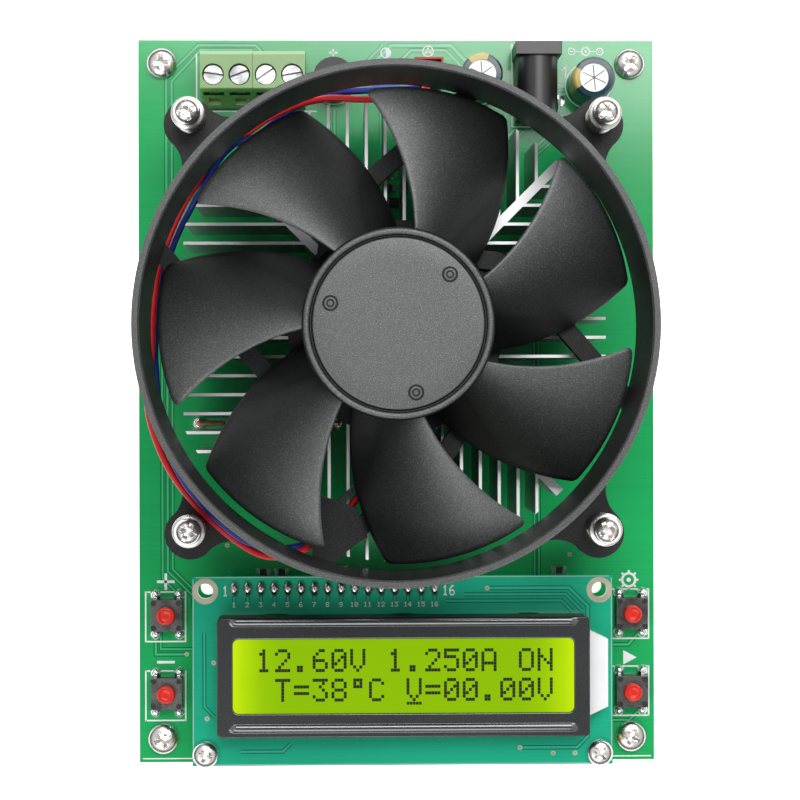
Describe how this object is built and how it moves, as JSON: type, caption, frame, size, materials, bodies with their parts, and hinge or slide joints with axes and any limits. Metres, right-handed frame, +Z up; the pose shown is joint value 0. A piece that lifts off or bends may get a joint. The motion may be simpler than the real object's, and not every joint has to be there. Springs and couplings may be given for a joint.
{
  "type": "dc electronic load",
  "caption": "Open-board electronic load: fan-cooled power stage, character display, push buttons, screw terminals and barrel power inlet on hexagonal feet.",
  "frame": {"origin": "centre of the board footprint, on the plane under the four feet", "axes": "+X to the right and +Y to the terminal edge as seen from above, +Z up out of the board"},
  "size_m": [0.1, 0.14, 0.0666],
  "materials": {
    "green_board": "glossy solder mask over glass fibre",
    "display_board": "glossy solder mask over glass fibre",
    "brass": "turned",
    "steel": "nickel plated",
    "bare_aluminium": "extruded, bright",
    "black_plastic": "spark eroded grain",
    "smooth_black": "moulded, satin",
    "chip_epoxy": "moulded epoxy",
    "copper": "drawn wire",
    "magnet": "bonded ferrite",
    "bronze": "sintered",
    "red_insulation": "extruded",
    "blue_insulation": "extruded",
    "red_plastic": "moulded",
    "white_plastic": "moulded, diffusing",
    "black_steel": "black lacquer",
    "display_glass": "polished, lit from behind",
    "zebra_rubber": "moulded",
    "green_plastic": "moulded",
    "sleeve": "shrunk film",
    "blue_plastic": "moulded",
    "silicone": "soft pad",
    "cap_red": "moulded"
  },
  "bodies": {
    "board": {"main_pcb": "green_board", "standoffs": "brass", "corner_screws": "steel", "heatsink": "bare_aluminium", "thermal_pad": "silicone", "power_mosfet": "chip_epoxy", "shunt_wire": "copper", "temperature_sensor": "chip_epoxy", "fan_frame": "black_plastic", "cooler_screws": "steel", "cooler_springs": "steel", "cooler_nuts": "steel", "bearing_sleeve": "bronze", "stator_core": "steel", "stator_coils": "copper", "fan_driver_board": "green_board", "fan_wire_red": "red_insulation", "fan_wire_blue": "blue_insulation", "fan_header": "red_plastic", "fan_plug": "red_plastic", "lcd_pcb": "display_board", "lcd_bezel": "black_steel", "lcd_glass": "display_glass", "lcd_backlight": "white_plastic", "lcd_zebra_strips": "zebra_rubber", "lcd_header_base": "smooth_black", "lcd_header_pins": "brass", "lcd_spacers": "brass", "lcd_screws": "steel", "lcd_driver_domes": "chip_epoxy", "terminal_housings": "green_plastic", "terminal_pins": "steel", "dc_jack_body": "smooth_black", "dc_jack_contacts": "steel", "capacitor_cans": "bare_aluminium", "capacitor_sleeves": "sleeve", "buzzer": "smooth_black", "trimmer_body": "blue_plastic", "switch_bases": "smooth_black", "switch_covers": "steel", "switch_leads": "steel", "switch_domes": "steel", "control_chips": "chip_epoxy"},
    "fan": {"fan_rotor": "black_plastic", "rotor_yoke": "steel", "rotor_magnet": "magnet", "fan_shaft": "steel"},
    "trimmer_knob": {"trimmer_rotor": "white_plastic"},
    "key_up": {"button_up": "cap_red"},
    "key_down": {"button_down": "cap_red"},
    "key_set": {"button_set": "cap_red"},
    "key_start": {"button_start": "cap_red"},
    "screw_1": {"terminal_screw_1": "steel"},
    "screw_2": {"terminal_screw_2": "steel"},
    "screw_3": {"terminal_screw_3": "steel"},
    "screw_4": {"terminal_screw_4": "steel"},
    "clamp_1": {"wire_clamp_1": "steel"},
    "clamp_2": {"wire_clamp_2": "steel"},
    "clamp_3": {"wire_clamp_3": "steel"},
    "clamp_4": {"wire_clamp_4": "steel"}
  },
  "joints": [
    {"name": "fan_spin", "type": "hinge", "parent": "board", "child": "fan", "pos_m": [-0.001, 0.0132, 0.0546], "axis": [0, 0, 1], "continuous": true},
    {"name": "trimmer_turn", "type": "hinge", "parent": "board", "child": "trimmer_knob", "pos_m": [-0.002, 0.0629, 0.0136], "axis": [0, 0, -1], "range_deg": [-135, 135]},
    {"name": "press_up", "type": "slide", "parent": "board", "child": "key_up", "axis": [0, 0, -1], "range_m": [0, 0.00025], "stiffness_N_per_m": 1000, "springref_m": -0.001},
    {"name": "press_down", "type": "slide", "parent": "board", "child": "key_down", "axis": [0, 0, -1], "range_m": [0, 0.00025], "stiffness_N_per_m": 1000, "springref_m": -0.001},
    {"name": "press_set", "type": "slide", "parent": "board", "child": "key_set", "axis": [0, 0, -1], "range_m": [0, 0.00025], "stiffness_N_per_m": 1000, "springref_m": -0.001},
    {"name": "press_start", "type": "slide", "parent": "board", "child": "key_start", "axis": [0, 0, -1], "range_m": [0, 0.00025], "stiffness_N_per_m": 1000, "springref_m": -0.001},
    {"name": "screw_turn_1", "type": "hinge", "parent": "board", "child": "screw_1", "pos_m": [-0.035, 0.062, 0.0176], "axis": [0, 0, -1], "range_deg": [0, 1440]},
    {"name": "clamp_lift_1", "type": "slide", "parent": "board", "child": "clamp_1", "axis": [0, 0, 1], "range_m": [0, 0.002]},
    {"name": "screw_turn_2", "type": "hinge", "parent": "board", "child": "screw_2", "pos_m": [-0.03, 0.062, 0.0176], "axis": [0, 0, -1], "range_deg": [0, 1440]},
    {"name": "clamp_lift_2", "type": "slide", "parent": "board", "child": "clamp_2", "axis": [0, 0, 1], "range_m": [0, 0.002]},
    {"name": "screw_turn_3", "type": "hinge", "parent": "board", "child": "screw_3", "pos_m": [-0.025, 0.062, 0.0176], "axis": [0, 0, -1], "range_deg": [0, 1440]},
    {"name": "clamp_lift_3", "type": "slide", "parent": "board", "child": "clamp_3", "axis": [0, 0, 1], "range_m": [0, 0.002]},
    {"name": "screw_turn_4", "type": "hinge", "parent": "board", "child": "screw_4", "pos_m": [-0.02, 0.062, 0.0176], "axis": [0, 0, -1], "range_deg": [0, 1440]},
    {"name": "clamp_lift_4", "type": "slide", "parent": "board", "child": "clamp_4", "axis": [0, 0, 1], "range_m": [0, 0.002]}
  ],
  "couplings": [
    {"joint": "screw_turn_1", "follows": "clamp_lift_1", "rad_per_m": 12566},
    {"joint": "screw_turn_2", "follows": "clamp_lift_2", "rad_per_m": 12566},
    {"joint": "screw_turn_3", "follows": "clamp_lift_3", "rad_per_m": 12566},
    {"joint": "screw_turn_4", "follows": "clamp_lift_4", "rad_per_m": 12566}
  ]
}
